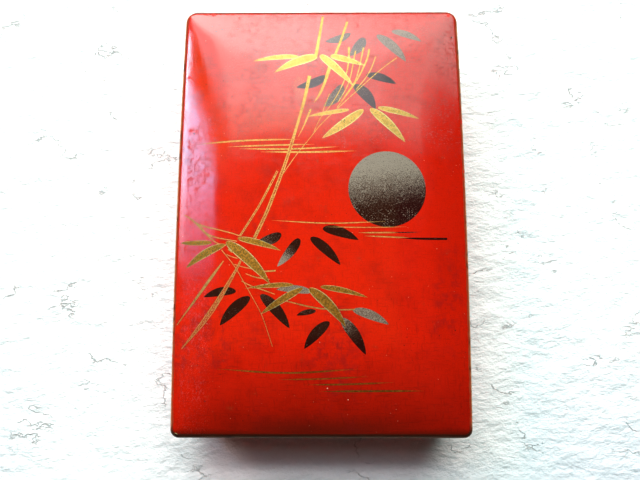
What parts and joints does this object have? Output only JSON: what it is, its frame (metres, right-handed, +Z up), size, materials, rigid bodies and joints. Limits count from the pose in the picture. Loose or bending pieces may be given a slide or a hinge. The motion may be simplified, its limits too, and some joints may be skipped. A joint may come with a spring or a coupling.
{
  "type": "lacquer box",
  "caption": "Shallow rectangular letter box with a cushion-domed overlapping lid, vermilion lacquer on wood, with a gold and silver picture of bamboo, moon and mist on the lid.",
  "frame": {"origin": "middle of the flat underside, where the box stands", "axes": "+Z up, +Y along the length towards the far short end (the top of the picture on the lid), +X to the right of someone reading the picture"},
  "size_m": [0.16, 0.24, 0.061],
  "materials": {
    "vermilion_lacquer": "hand-polished glossy vermilion lacquer over wood, slightly worn, with sprinkled gold, silver and black decoration on the lid"
  },
  "bodies": {
    "root": {"body": "vermilion_lacquer", "lid": "vermilion_lacquer"}
  },
  "joints": []
}
